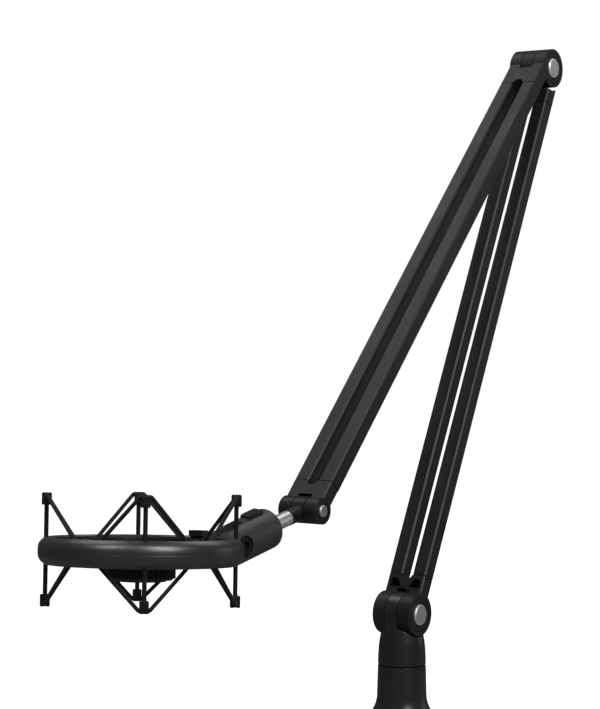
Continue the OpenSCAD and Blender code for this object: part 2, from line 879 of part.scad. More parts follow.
module post_tip(top) {
    difference() {
        union() {
            block(-tip_radial / 2, tip_radial / 2, -tip_tangent / 2, tip_tangent / 2, top - tip_h + 1, top);
            translate([0, 0, top - tip_h]) cylinder(r = tip_tangent / 2, h = 1.5, $fn = 32);
        }
        block(-notch_w / 2, notch_w / 2, -5, 5, top - tip_saddle, top + 1);
        translate([0, 0, top - tip_saddle]) along_y(notch_w / 2, -5, 5);
    }
}

module post(i) {
    color(BLACK) at_ring() rotate([0, 0, 45 + 90 * i + post_turn]) translate([post_circle_r, 0, 0]) {
        translate([0, 0, tip_h / 2 - post_down])
            cylinder(r = post_d / 2, h = post_up + post_down - tip_h, $fn = 48);
        post_tip(post_up);
        mirror([0, 0, 1]) post_tip(post_down);
    }
}

module front_right_post() {
    post(0);
}

module rear_right_post() {
    post(1);
}

module rear_left_post() {
    post(2);
}

module front_left_post() {
    post(3);
}

// Elastic cord: a closed loop that runs over the four post tips and round the four cradle hooks

function polar(r, a, t, z) = [r * cos(a) - t * sin(a), r * sin(a) + t * cos(a), z];
function unit(v) = v / norm(v);

function elastic_path(saddle, hook_radius, hook_z, s) = [
    for (i = [0:3]) let (a = 45 + 90 * i + post_turn, b = a + 45) each concat(
        [for (k = [[-3, 0.35], [-2.3, 0], [0, 0], [2.3, 0], [3, 0.35]])
            polar(post_circle_r, a, k[0], saddle - s * k[1])],
        [polar(hook_radius, b, -3.1, hook_z + s * 1.4)],
        [for (k = [-60:30:60])
            polar(hook_radius, b, 2.6 * sin(k) / sin(60), hook_z + s * 0.7 * (1 - cos(k)))],
        [polar(hook_radius, b, 3.1, hook_z + s * 1.4)]
    )
];

function elastic_ring(path, i) = let (
    n = len(path),
    p = path[i],
    t = unit(path[(i + 1) % n] - path[(i + n - 1) % n]),
    out = unit([p[0], p[1], 0]),
    u = unit(out - (out * t) * t),
    v = cross(t, u)
) [for (k = [0:7]) p + elastic_r * (cos(45 * k) * u + sin(45 * k) * v)];

module elastic_loop(path) {
    n = len(path);
    points = [for (i = [0:n - 1]) each elastic_ring(path, i)];
    faces = [
        for (i = [0:n - 1]) for (k = [0:7]) let (
            a = 8 * i + k,
            b = 8 * i + (k + 1) % 8,
            c = 8 * ((i + 1) % n) + (k + 1) % 8,
            d = 8 * ((i + 1) % n) + k
        ) each [[a, b, c], [a, c, d]]
    ];
    polyhedron(points = points, faces = faces, convexity = 6);
}

module upper_elastic() {
    color(RUBBER) at_ring() elastic_loop(elastic_path(upper_saddle, hook_r, hook_bottom - 0.4, 1));
}

module lower_elastic() {
    color(RUBBER) at_ring() elastic_loop(elastic_path(lower_saddle, outer_hook_r, hook_top + 0.4, -1));
}

module cradle() {
    groove = elastic_r + elastic_gap;
    color(BLACK) at_ring() difference() {
        union() {
            translate([0, 0, floor_bottom]) cylinder(r = cradle_r, h = floor_t);
            tube_z(cradle_r, cradle_r - 2.5, floor_bottom, 6);
            translate([0, 0, nut_bottom - 0.8]) cylinder(r = sleeve_r, h = floor_bottom - nut_bottom + 1);
            for (i = [0:3]) rotate([0, 0, 90 * i + post_turn]) {
                block(cradle_r - 1, hook_end, -hook_half, hook_half, hook_bottom, hook_top);
                block(cradle_r - 1, hook_r - 4, -hook_half, hook_half, hook_bottom, hook_rib_top);
            }
        }
        translate([0, 0, nut_bottom - 2]) cylinder(r = mic_bore_r, h = 20);
        for (i = [0:3]) rotate([0, 0, 90 * i + post_turn]) {
            translate([hook_r, 0, hook_bottom - 0.4]) along_y(groove, -5, 5);
            translate([outer_hook_r, 0, hook_top + 0.4]) along_y(groove, -5, 5);
        }
    }
}

module cradle_liner() {
    floor_top = floor_bottom + floor_t;
    color(RUBBER) at_ring() tube_z(cradle_r - 2.6, mic_bore_r + 4, floor_top, floor_top + 1.5);
}

module nut_washer() {
    color(RUBBER) at_ring()
        tube_z(nut_r - 0.8, sleeve_r + run_gap, nut_top + face_gap, floor_bottom - face_gap);
}

module locking_nut() {
    rib = 0.6;
    edge = 1.1;
    pitch = 360 / nut_ribs;
    root_r = nut_r - rib - 0.2;
    color(BLACK) at_ring() difference() {
        union() {
            translate([0, 0, nut_bottom + edge]) linear_extrude(nut_h - edge) polygon([
                for (i = [0:nut_ribs - 1]) each [for (k = [[0, 0], [0.33, 0], [0.47, rib], [0.86, rib]])
                    let (a = pitch * (i + k[0]), r = nut_r - rib + k[1]) [r * cos(a), r * sin(a)]]
            ]);
            translate([0, 0, nut_bottom]) cylinder(r1 = root_r - edge, r2 = root_r, h = edge);
            translate([0, 0, nut_bottom + edge - 0.1]) cylinder(r = root_r, h = 1);
        }
        translate([0, 0, nut_bottom - 1]) cylinder(r = sleeve_r + run_gap, h = nut_h + 2);
    }
}

// Knuckles in place

module shoulder_pin() {
    at_lower() knuckle_pin(big_pin);
}

module shoulder_nut() {
    at_lower() knuckle_nut(big_pin);
}

module shoulder_bushes() {
    at_lower() knuckle_bushes(big_pin);
}

module shoulder_washers() {
    at_lower() knuckle_washers(big_pin, shoulder_r - 2);
}

module elbow_pin() {
    at_elbow_upper() knuckle_pin(big_pin);
}

module elbow_nut() {
    at_elbow_upper() knuckle_nut(big_pin);
}

module elbow_bushes() {
    at_elbow_upper() knuckle_bushes(big_pin);
}

module elbow_washers() {
    at_elbow_upper() knuckle_washers(big_pin, elbow_r - 2);
}

module wrist_pin() {
    at_wrist() knuckle_pin(small_pin);
}

module wrist_nut() {
    at_wrist() knuckle_nut(small_pin);
}

module wrist_bushes() {
    at_wrist() knuckle_bushes(small_pin);
}

module wrist_washers() {
    at_wrist() knuckle_washers(small_pin, wrist_r - 1.2);
}

clamp_bracket();
clamp_liner();
clamp_screw();
clamp_knob();
clamp_pad();
clamp_pad_rubber();
base_flange();
flange_screws();
swivel_bush();
swivel_washer();
swivel_retainer();
swivel_shaft();
swivel_head();
shoulder_pin();
shoulder_nut();
shoulder_bushes();
shoulder_washers();
lower_arm_foot_cap();
lower_left_rail();
lower_right_rail();
lower_arm_elbow_cap();
lower_rail_screws();
elbow_pin();
elbow_nut();
elbow_bushes();
elbow_washers();
upper_arm_elbow_cap();
upper_left_rail();
upper_right_rail();
upper_arm_wrist_cap();
upper_rail_screws();
wrist_pin();
wrist_nut();
wrist_bushes();
wrist_washers();
wrist_stem();
mic_stud();
adapter_barrel();
lock_slide();
pivot_screw();
pivot_nut();
pivot_washers();
ring_bracket();
bracket_screws();
shock_ring();
front_left_post();
front_right_post();
rear_left_post();
rear_right_post();
upper_elastic();
lower_elastic();
cradle();
cradle_liner();
nut_washer();
locking_nut();
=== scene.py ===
"""Looks of a desk microphone stand: rounded edges, finishes, elastics and a plain studio stage."""

import json
import math

import bmesh
import bpy
from mathutils import Matrix, Vector


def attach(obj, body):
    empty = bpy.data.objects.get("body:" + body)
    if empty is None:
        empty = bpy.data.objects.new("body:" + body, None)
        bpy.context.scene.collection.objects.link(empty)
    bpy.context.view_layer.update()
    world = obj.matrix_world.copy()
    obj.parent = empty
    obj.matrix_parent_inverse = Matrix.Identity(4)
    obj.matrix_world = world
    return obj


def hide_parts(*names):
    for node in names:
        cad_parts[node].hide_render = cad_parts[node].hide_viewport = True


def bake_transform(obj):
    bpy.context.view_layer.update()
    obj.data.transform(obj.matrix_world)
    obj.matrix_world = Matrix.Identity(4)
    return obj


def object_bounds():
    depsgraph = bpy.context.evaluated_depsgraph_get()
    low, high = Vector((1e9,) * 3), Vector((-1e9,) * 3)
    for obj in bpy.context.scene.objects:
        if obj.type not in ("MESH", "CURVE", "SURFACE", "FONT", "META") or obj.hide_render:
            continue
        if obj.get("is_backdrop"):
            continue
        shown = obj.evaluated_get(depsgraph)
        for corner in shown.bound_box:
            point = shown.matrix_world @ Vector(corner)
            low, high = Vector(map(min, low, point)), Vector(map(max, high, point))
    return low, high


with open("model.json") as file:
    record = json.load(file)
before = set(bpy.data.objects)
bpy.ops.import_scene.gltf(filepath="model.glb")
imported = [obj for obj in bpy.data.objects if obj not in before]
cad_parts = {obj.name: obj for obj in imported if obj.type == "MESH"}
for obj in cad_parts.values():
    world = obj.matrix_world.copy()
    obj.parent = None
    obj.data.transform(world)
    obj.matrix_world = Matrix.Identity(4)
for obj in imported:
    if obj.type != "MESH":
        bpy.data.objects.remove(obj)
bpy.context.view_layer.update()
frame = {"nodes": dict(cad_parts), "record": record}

bl_info = {
    "name": "Desk microphone stand",
    "version": (1, 0, 0),
    "blender": (4, 5, 0),
    "location": "View3D > Sidebar > Stand",
    "description": "Rounds the edges of a microphone stand, gives it its finishes and sets up the stage",
    "category": "Object",
}

MM = 0.001
RECORD = frame["record"]
BODY_OF = {n: b for b, names in RECORD["behaviour"]["bodies"].items() for n in names}

# Resting places of the pins, from the record
PIN_AT = {j["name"]: Vector(j["pos_m"]) for j in RECORD["behaviour"]["joints"] if j.get("pos_m")}
SHOULDER = PIN_AT["shoulder_hinge"]
ELBOW = PIN_AT["elbow_hinge"]
WRIST = PIN_AT["wrist_hinge"]
PIVOT = PIN_AT["ring_tilt"]

# Leans and turns at rest, as the source of the part sets them
LOWER_LEAN = math.radians(25.96)
UPPER_LEAN = math.radians(43.13)
BARREL_ROLL = math.radians(1.9)
STEM_DROP = math.radians(11.7)
RING_TILT = math.radians(3.7)

STEM_TURN = Matrix.Rotation(STEM_DROP, 4, "Y")
BARREL_TURN = STEM_TURN @ Matrix.Rotation(BARREL_ROLL, 4, "X")
RING_TURN = BARREL_TURN @ Matrix.Rotation(-STEM_DROP - RING_TILT, 4, "Y")
LOWER_FRAME = Matrix.Translation(SHOULDER) @ Matrix.Rotation(-LOWER_LEAN, 4, "Y")
UPPER_FRAME = Matrix.Translation(WRIST) @ Matrix.Rotation(-UPPER_LEAN, 4, "Y")
STUD_AXIS = STEM_TURN.to_3x3() @ Vector((1, 0, 0))

# Millimetre sizes that the source of the part sets
RING_REACH = 75.0
RING_DROP = 1.2
ARM_HALF = 13.0
TONGUE_HALF = 4.1
# Radii of a pin, its head, the sleeve of its bush, the bush's flange and the cup in it
BIG_PIN = (4.0, 6.4, 5.6, 9.9, 7.3)
SMALL_PIN = (2.2, 3.6, 3.2, 5.7, 4.3)
POST_TURN = -2.7
POST_CIRCLE = 48.9
POST_UP = 29.8
POST_DOWN = 28.8
POSTS = ["front_right_post", "rear_right_post", "rear_left_post", "front_left_post"]
FOOT_JOINT = 23.3
ELBOW_JOINT = 24.3
WRIST_JOINT = 17.7
ARM_LEN = 380.0
# Floor of the two pockets in a cap and the heights between which they lie, in the arm's frame
POCKETS = {"lower_arm_foot_cap": (3.0, 15.1, 20.7), "upper_arm_wrist_cap": (2.4, 11.3, 15.7)}
POCKET_SIDES = (2.7, 10.8)
POCKET_DEPTH = 1.95

RING = PIVOT + RING_TURN.to_3x3() @ Vector((RING_REACH, 0, -RING_DROP)) * MM
RING_FRAME = Matrix.Translation(RING) @ RING_TURN

# What the scene refines inside the solids' box, in millimetres
POCKET_SINK = 2.5
RAIL_SINK = 0.4
TAB_LOW = 7.02
TAB_ROUNDING = 0.55
POST_RADIUS = 1.2
CORD_RADIUS = 1.08

# Distances in metres that count as one point, and the angles that count as flat, sharp and creased
MERGE_DISTANCE = 2e-6
FLAT_ANGLE = math.radians(0.6)
SHARP_ANGLE = math.radians(28)
SHADE_ANGLE = math.radians(32)
END_NEAR = 1e-5


# Finishes


class Finish:
    """A Principled material with the few texture steps that the finishes share."""

    def __init__(self, name):
        self.mat = bpy.data.materials.get(name) or bpy.data.materials.new(name)
        self.mat.use_nodes = True
        self.tree = self.mat.node_tree
        self.tree.nodes.clear()
        out = self.tree.nodes.new("ShaderNodeOutputMaterial")
        self.shader = self.tree.nodes.new("ShaderNodeBsdfPrincipled")
        self.tree.links.new(self.shader.outputs[0], out.inputs[0])
        coords = self.tree.nodes.new("ShaderNodeTexCoord")
        self.place = coords.outputs["Object"]
        self.uv = coords.outputs["UV"]

    def node(self, kind, inputs=(), **settings):
        """A shader node with its settings, its inputs linked or set."""
        made = self.tree.nodes.new(kind)
        for key, value in settings.items():
            setattr(made, key, value)
        for key, value in dict(inputs).items():
            if isinstance(value, bpy.types.NodeSocket):
                self.tree.links.new(value, made.inputs[key])
            else:
                made.inputs[key].default_value = value
        return made

    def mapped(self, vector, location=(0, 0, 0), rotation=(0, 0, 0), scale=(1, 1, 1)):
        """A vector moved, turned and stretched."""
        made = self.node("ShaderNodeMapping", {"Vector": vector, "Scale": scale})
        made.inputs["Location"].default_value = location
        made.inputs["Rotation"].default_value = rotation
        return made.outputs[0]

    def noise(self, scale, detail=2.0, vector=None):
        """Cloudy noise, over the object's own coordinates unless told otherwise."""
        made = self.node(
            "ShaderNodeTexNoise",
            {"Vector": vector or self.place, "Scale": scale, "Detail": detail},
        )
        return made.outputs[0]

    def between(self, value, low, high, start=0.3, end=0.7):
        """A value between start and end, spread from low to high."""
        made = self.node(
            "ShaderNodeMapRange",
            {"Value": value, "From Min": start, "From Max": end, "To Min": low, "To Max": high},
        )
        return made.outputs[0]

    def blend(self, share, a, b):
        """The colour a where share is 0 and b where it is 1."""
        made = self.node("ShaderNodeMix", data_type="RGBA")
        self.tree.links.new(share, made.inputs[0])
        for socket, colour in ((made.inputs[6], a), (made.inputs[7], b)):
            if isinstance(colour, bpy.types.NodeSocket):
                self.tree.links.new(colour, socket)
            else:
                socket.default_value = (*colour, 1)
        return made.outputs[2]

    def bump(self, height, strength, distance, normal=None):
        """The normal of a fine relief, over another one if given."""
        inputs = {"Height": height, "Strength": strength, "Distance": distance}
        if normal is not None:
            inputs["Normal"] = normal
        return self.node("ShaderNodeBump", inputs).outputs[0]

    def give(self, **inputs):
        """Sets or links the shader's inputs by plain names, and returns the material."""
        names = {
            "colour": "Base Color",
            "roughness": "Roughness",
            "metal": "Metallic",
            "normal": "Normal",
            "gloss": "Specular IOR Level",
            "sheen": "Sheen Weight",
            "index": "IOR",
        }
        for key, value in inputs.items():
            socket = self.shader.inputs[names[key]]
            if isinstance(value, bpy.types.NodeSocket):
                self.tree.links.new(value, socket)
            elif key == "colour":
                socket.default_value = (*value, 1)
            else:
                socket.default_value = value
        return self.mat


def shade(colour, factor):
    """A colour made darker or brighter."""
    return tuple(c * factor for c in colour)


def grained(name, colour, roughness, grain, depth, gloss):
    """Finish of satin black paint or moulding: a fine even grain over slow changes of tone."""
    f = Finish(name)
    slow = f.noise(30, 3)
    fine = f.noise(grain, 2)
    tone = f.blend(f.between(slow, 0, 1), shade(colour, 0.8), shade(colour, 1.15))
    specks = f.between(f.noise(grain * 0.6, 4), 0, 1, 0.66, 0.74)
    tone = f.blend(specks, tone, shade(colour, 1.6))
    f.grain = f.bump(fine, depth, 0.00008)
    f.give(
        colour=tone,
        roughness=f.between(slow, roughness - 0.04, roughness + 0.05),
        normal=f.grain,
        gloss=gloss,
    )
    return f


def coated_black(name, colour, roughness, grain, depth, gloss=0.35):
    """Material of satin black paint or moulding."""
    return grained(name, colour, roughness, grain, depth, gloss).mat


def moulded_ring(name, colour, roughness):
    """Satin moulding whose mould line runs round the middle of the shock ring."""
    f = grained(name, colour, roughness, grain=1700, depth=0.3, gloss=1.0)
    back = RING_TURN.inverted()
    local = f.mapped(f.place, tuple(-(back @ RING)), tuple(back.to_euler()))
    height = f.node("ShaderNodeSeparateXYZ", {0: local}).outputs[2]
    away = f.node("ShaderNodeMath", {0: height}, operation="ABSOLUTE").outputs[0]
    line = f.between(away, 0, 1, 0.00008, 0.0003)
    return f.give(normal=f.bump(line, 0.25, 0.0002, f.grain), index=1.65)


def rubber(name, colour, roughness):
    """Soft black rubber with a dusty, slightly uneven face."""
    f = Finish(name)
    cloud = f.noise(120, 4)
    fine = f.noise(2600, 2)
    tone = f.blend(f.between(cloud, 0, 1), shade(colour, 0.75), shade(colour, 1.5))
    return f.give(
        colour=tone,
        roughness=f.between(cloud, roughness - 0.05, roughness + 0.08),
        normal=f.bump(fine, 0.25, 0.00015),
        gloss=0.3,
    )


def turned_metal(name, colour, roughness, centre, axis, metal=1.0, rim=None):
    """Metal with the fine rings that a lathe leaves round an axis, with a painted highlight beyond a radius
    rim in mm, where a bevel would catch the light.
    """
    f = Finish(name)
    turn = Vector(axis).rotation_difference(Vector((0, 0, 1)))
    local = f.mapped(f.place, location=tuple(-(turn @ Vector(centre))), rotation=tuple(turn.to_euler()))
    rings = f.node(
        "ShaderNodeTexWave",
        {"Vector": local, "Scale": 260, "Distortion": 1.2, "Detail": 2.0, "Detail Scale": 2.0},
        wave_type="RINGS",
        rings_direction="Z",
    ).outputs["Fac"]
    along = f.noise(1, 3, f.mapped(local, scale=(60, 60, 2500)))
    worn = f.noise(180, 4)
    tone = f.blend(f.between(along, 0, 1), shade(colour, 0.82), shade(colour, 1.08))
    # Painted highlight: the colour is lighter beyond the rim radius, on the bevel of a pin head.
    if rim:
        flat = f.mapped(local, scale=(1, 1, 0))
        away = f.node("ShaderNodeVectorMath", {0: flat}, operation="LENGTH").outputs["Value"]
        painted_rim_highlight = f.between(away, 0, 1, (rim - 0.1) * MM, (rim + 0.1) * MM)
        tone = f.blend(painted_rim_highlight, tone, shade(colour, 1.3))
    return f.give(
        colour=tone,
        metal=metal,
        roughness=f.between(worn, roughness - 0.06, roughness + 0.08),
        normal=f.bump(along, 0.05, 0.00004, f.bump(rings, 0.05, 0.00004)),
    )


def zinc(name, colour, roughness):
    """Plated steel with cloudy spangle and slight wear."""
    f = Finish(name)
    spangle = f.node("ShaderNodeTexVoronoi", {"Vector": f.place, "Scale": 700}).outputs["Color"]
    cloud = f.noise(90, 4)
    tone = f.blend(f.between(cloud, 0, 1), shade(colour, 0.7), shade(colour, 1.1))
    grey = f.node("ShaderNodeSeparateColor", {"Color": spangle}).outputs[0]
    return f.give(
        colour=tone,
        metal=1.0,
        roughness=f.between(grey, roughness - 0.05, roughness + 0.1, 0, 1),
        normal=f.bump(f.noise(1500, 2), 0.1, 0.00006),
    )


def bronze(name, colour, roughness):
    """Porous sintered bronze, darker in its pores as painted shade."""
    f = Finish(name)
    pores = f.node("ShaderNodeTexVoronoi", {"Vector": f.place, "Scale": 2500}).outputs["Distance"]
    # Painted shade: the colour darkens where the pores lie.
    tone = f.blend(f.between(pores, 0, 1, 0.05, 0.3), shade(colour, 0.4), colour)
    return f.give(colour=tone, metal=1.0, roughness=roughness, normal=f.bump(pores, 0.3, 0.0001))


def braided(name, colour):
    """Elastic cord in a woven sheath, whose strands cross along the piece's own UV map."""
    f = Finish(name)
    waves = []
    for turned in (45, -45):
        lane = f.mapped(f.uv, rotation=(0, 0, math.radians(turned)))
        waves.append(
            f.node(
                "ShaderNodeTexWave",
                {"Vector": lane, "Scale": 2.2, "Distortion": 0.0},
                bands_direction="X",
            ).outputs["Fac"]
        )
    weave = f.node("ShaderNodeMath", {0: waves[0], 1: waves[1]}, operation="MULTIPLY").outputs[0]
    fuzz = f.noise(4000, 2)
    tone = f.blend(weave, shade(colour, 0.55), shade(colour, 1.7))
    return f.give(
        colour=tone,
        roughness=f.between(fuzz, 0.6, 0.8),
        normal=f.bump(weave, 0.5, 0.00012, f.bump(fuzz, 0.2, 0.00005)),
        sheen=0.15,
        gloss=0.3,
    )


# Shapes


def add_piece(name, mesh, body):
    """A new visible piece, which rides on a body if one is given."""
    piece = bpy.data.objects.new(name, mesh)
    bpy.context.scene.collection.objects.link(piece)
    if body:
        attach(piece, body)
    return piece


def smooth(piece):
    """Smooth shading that breaks at sharp edges and keeps the flats flat."""
    for polygon in piece.data.polygons:
        polygon.use_smooth = True
    piece.data.set_sharp_from_angle(angle=SHADE_ANGLE)
    weighted = piece.modifiers.new("Even shading", "WEIGHTED_NORMAL")
    weighted.keep_sharp = True


def rounded_edges(bm, edges, width, segments=2):
    """Rounds edges by a width in mm."""
    if width and edges:
        bmesh.ops.bevel(
            bm,
            geom=edges,
            offset=width * MM,
            offset_type="OFFSET",
            segments=segments,
            profile=0.5,
            affect="EDGES",
            clamp_overlap=True,
            material=-1,
        )


def merge_into(bm, part, place):
    """Moves a part to its place and adds it to the mesh bm."""
    bmesh.ops.transform(part, matrix=place, verts=part.verts)
    mesh = bpy.data.meshes.new("part")
    part.to_mesh(mesh)
    part.free()
    bm.from_mesh(mesh)
    bpy.data.meshes.remove(mesh)


def softened(node, width, keep=None, shorten=None, first=None):
    """A copy of a CAD node with its doubles merged, its flats joined and its sharp edges rounded.

    Edges that keep() picks stay sharp. shorten is a frame, two heights in it and how far the ends
    that lie at those heights are drawn in. first is a test and the larger rounding in mm of the
    edges that pass it."""
    source = frame["nodes"][node]
    bm = bmesh.new()
    bm.from_mesh(source.data)
    bmesh.ops.remove_doubles(bm, verts=bm.verts, dist=MERGE_DISTANCE)
    bmesh.ops.dissolve_degenerate(bm, edges=bm.edges, dist=MERGE_DISTANCE)
    bmesh.ops.dissolve_limit(
        bm, angle_limit=FLAT_ANGLE, use_dissolve_boundaries=False, verts=bm.verts, edges=bm.edges
    )
    if shorten:
        place, low, high, gap = shorten
        back = place.inverted()
        for vert in bm.verts:
            height = (back @ vert.co).z
            if abs(height - low) < END_NEAR or abs(height - high) < END_NEAR:
                inward = gap if height < (low + high) / 2 else -gap
                vert.co += place.to_3x3() @ Vector((0, 0, inward))
    sharp = [e for e in bm.edges if len(e.link_faces) == 2 and e.calc_face_angle() > SHARP_ANGLE]
    if keep:
        sharp = [e for e in sharp if not keep(e)]
    if first:
        picks, larger = first
        picked = [e for e in sharp if picks(e)]
        sharp = [e for e in sharp if e not in picked]
        rounded_edges(bm, picked, larger, segments=3)
        sharp = [e for e in sharp if e.is_valid]
    rounded_edges(bm, sharp, width)
    return shown_for(node, bm)


def shown_for(node, bm):
    """Makes the piece that shows instead of a CAD node."""
    mesh = bpy.data.meshes.new(node + "_body")
    bm.to_mesh(mesh)
    bm.free()
    piece = add_piece(node + "_body", mesh, BODY_OF[node])
    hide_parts(node)
    smooth(piece)
    return piece


def arc(start, end, centre, radius, steps):
    """Points from start to end on a circle, for turns of less than half a circle."""
    a, b = start - centre, end - centre
    return [centre + a.lerp(b, k / steps).normalized() * radius for k in range(steps + 1)]


def rounded(points):
    """An outline whose corners (radius, height, fillet) become short arcs."""
    steps = 4
    outline = []
    for i, point in enumerate(points):
        here = Vector(point[:2])
        if len(point) == 2:
            outline.append(here)
            continue
        to_last = (Vector(points[i - 1][:2]) - here).normalized()
        to_next = (Vector(points[(i + 1) % len(points)][:2]) - here).normalized()
        half = to_last.angle(to_next) / 2
        centre = here + (to_last + to_next).normalized() * (point[2] / math.sin(half))
        reach = point[2] / math.tan(half)
        outline += arc(here + to_last * reach, here + to_next * reach, centre, point[2], steps)
    return outline


def spun(bm, outline, place, steps=96):
    """Spins an outline of (radius, height) in mm round Z, closed unless it starts and ends on the axis."""
    part = bmesh.new()
    verts = [part.verts.new((point[0] * MM, 0, point[1] * MM)) for point in outline]
    pairs = list(zip(verts, verts[1:]))
    if outline[0][0] > 0:
        pairs.append((verts[-1], verts[0]))
    edges = [part.edges.new(pair) for pair in pairs]
    bmesh.ops.spin(
        part, geom=verts + edges, cent=(0, 0, 0), axis=(0, 0, 1), angle=math.tau, steps=steps, use_merge=True
    )
    bmesh.ops.remove_doubles(part, verts=part.verts, dist=1e-7)
    bmesh.ops.recalc_face_normals(part, faces=part.faces)
    merge_into(bm, part, place)


def finish_of(piece, mat):
    """Gives a piece its only material."""
    piece.data.materials.clear()
    piece.data.materials.append(mat)


def finish_node(node, mat):
    """Gives a CAD node that shows as it is its material."""
    mesh = frame["nodes"][node].data
    mesh.materials.clear()
    mesh.materials.append(mat)


# Settings


def colour_setting(name, text, default):
    """A colour of the panel."""
    return bpy.props.FloatVectorProperty(
        name=name, description=text, default=default, subtype="COLOR", size=3, min=0, max=1
    )


def size_setting(name, text, default, low, high):
    """A length of the panel, in metres."""
    return bpy.props.FloatProperty(
        name=name, description=text, default=default, min=low, max=high, unit="LENGTH", precision=5
    )


class StandColours(bpy.types.PropertyGroup):
    """Colours of the finishes."""

    coat: colour_setting("Powder coat", "Satin black of the rails", (0.016, 0.016, 0.0175))
    moulding: colour_setting("Moulding", "Black of the caps, ring, posts and bushes", (0.014, 0.014, 0.015))
    casting: colour_setting("Casting", "Black enamel of the base and the clamp", (0.023, 0.023, 0.0245))
    rubber: colour_setting("Rubber", "Liners and friction washers", (0.012, 0.012, 0.0125))
    cord: colour_setting("Elastic cord", "Woven sheath of the elastics", (0.014, 0.014, 0.015))
    silver: colour_setting("Silver", "Turned pin heads and the neck", (0.85, 0.85, 0.86))
    zinc: colour_setting("Zinc", "Plated screws and the clamp screw", (0.5, 0.5, 0.51))
    bronze: colour_setting("Bronze", "Bush of the swivel", (0.55, 0.36, 0.18))


class StandSizes(bpy.types.PropertyGroup):
    """Sizes of the rounded edges and the open joints."""

    rail_edge: size_setting("Rail edge", "Rounding of the rails' long edges", 0.00025, 0.00005, 0.0005)
    cap_edge: size_setting("Cap edge", "Rounding of the caps' edges", 0.0003, 0.00005, 0.0006)
    joint_gap: size_setting("Joint gap", "Open joint between a rail and its cap", 0.00045, 0.00005, 0.0006)
    fine_edge: size_setting("Fine edge", "Rounding of the small hardware", 0.00015, 0.00003, 0.0004)


def colours():
    """The colours of the panel."""
    return bpy.context.scene.stand_colours


def sizes():
    """The sizes of the panel."""
    return bpy.context.scene.stand_sizes


def black_coat():
    """Powder coat of the rails."""
    colour = tuple(colours().coat)
    return coated_black("Powder coat", colour, 0.42, grain=2200, depth=0.2, gloss=0.43)


def black_moulding():
    """Moulding of the caps, the bushes, the bracket and the cradle."""
    colour = tuple(colours().moulding)
    return coated_black("Black moulding", colour, 0.46, grain=3000, depth=0.25, gloss=0.5)


def black_casting():
    """Enamel of the base and the clamp."""
    colour = tuple(colours().casting)
    return coated_black("Black casting", colour, 0.32, grain=1400, depth=0.15, gloss=0.7)


def black_steel():
    """Blackened steel of the small screws."""
    return coated_black("Blackened steel", (0.03, 0.03, 0.032), 0.3, grain=1800, depth=0.1)


def black_rubber():
    """Rubber of the liners and washers."""
    return rubber("Black rubber", tuple(colours().rubber), 0.8)


def dress(nodes, mat, width):
    """Shows several nodes as rounded copies, all in one finish."""
    for node in nodes:
        finish_of(softened(node, width / MM), mat)


# Pieces


# Clamp screw from its end in the knob up to its head in the pad, as (radius, height, fillet)
SCREW_OUTLINE = [
    (0, -112),
    (5, -112, 0.4),
    (5, -101, 0.3),
    (4.25, -100.2),
    (4.25, -35),
    (3.2, -34),
    (3.2, -31.8),
    (6, -30.8, 0.3),
    (6, -29.2, 0.2),
    (0, -29.2),
]


def thread(bm, root, crest, low, high, pitch):
    """Adds a screw thread's ridge round Z, made by one long spin that climbs as it turns."""
    steps = 24
    corners = ((root, -0.42), (crest, -0.1), (crest, 0.1), (root, 0.42))
    verts = [bm.verts.new((r * MM, 0, (low + k * pitch) * MM)) for r, k in corners]
    edges = [bm.edges.new((verts[k - 1], verts[k])) for k in range(4)]
    turns = int((high - low) / pitch)
    grown = bmesh.ops.spin(
        bm,
        geom=verts + edges,
        cent=(0, 0, 0),
        axis=(0, 0, 1),
        dvec=(0, 0, pitch * MM / steps),
        angle=math.tau * turns,
        steps=turns * steps,
        use_merge=False,
    )
    last = [e for e in grown["geom_last"] if isinstance(e, bmesh.types.BMEdge)]
    for rim in (edges, last):
        bmesh.ops.contextual_create(bm, geom=rim)
    bmesh.ops.recalc_face_normals(bm, faces=bm.faces)


class STAND_OT_clamp(bpy.types.Operator):
    """Desk clamp with its liner, screw, knob and pad"""

    bl_idname = "stand.clamp"
    bl_label = "Desk clamp"

    def execute(self, context):
        edge = sizes().cap_edge
        dress(["clamp_bracket"], black_casting(), edge * 1.6)
        dress(["clamp_knob", "clamp_pad"], black_moulding(), edge)
        dress(["clamp_liner", "clamp_pad_rubber"], black_rubber(), edge)
        steel = zinc("Zinc plate", tuple(colours().zinc), 0.35)
        screw = bmesh.new()
        spun(screw, rounded(SCREW_OUTLINE), Matrix.Identity(4), 48)
        thread(screw, root=4.2, crest=5.0, low=-100.5, high=-35.5, pitch=2.0)
        finish_of(shown_for("clamp_screw", screw), steel)
        finish_node("flange_screws", steel)
        return {"FINISHED"}


class STAND_OT_base(bpy.types.Operator):
    """Flared base, swivel head and what turns between them"""

    bl_idname = "stand.base"
    bl_label = "Swivel base"

    def execute(self, context):
        dress(["base_flange", "swivel_head"], black_casting(), sizes().cap_edge)
        finish_node("swivel_washer", black_rubber())
        finish_node("swivel_bush", bronze("Sintered bronze", tuple(colours().bronze), 0.45))
        steel = turned_metal("Shaft steel", tuple(colours().zinc), 0.3, (0, 0, 0), (0, 0, 1))
        finish_node("swivel_shaft", steel)
        finish_node("swivel_retainer", steel)
        return {"FINISHED"}


def on_seat(centre):
    """A test for edges on one of the circles cut for a bush round a pin along Y."""
    level, widest = 0.03, 10.4

    def test(edge):
        reach = [math.hypot(v.co.x - centre.x, v.co.z - centre.z) / MM for v in edge.verts]
        return abs(reach[0] - reach[1]) < level and max(reach) < widest

    return test


def in_slot(place):
    """A test for edges on one of the two walls of an arm's slot."""
    back = place.inverted()
    wall = 3.7 * MM
    return lambda edge: all(abs((back @ v.co).y) < wall for v in edge.verts)


def on_tab(edge):
    """Whether an edge belongs to the raised tab of the ring's bracket."""
    back = RING_FRAME.inverted()
    return min((back @ v.co).z for v in edge.verts) > TAB_LOW * MM


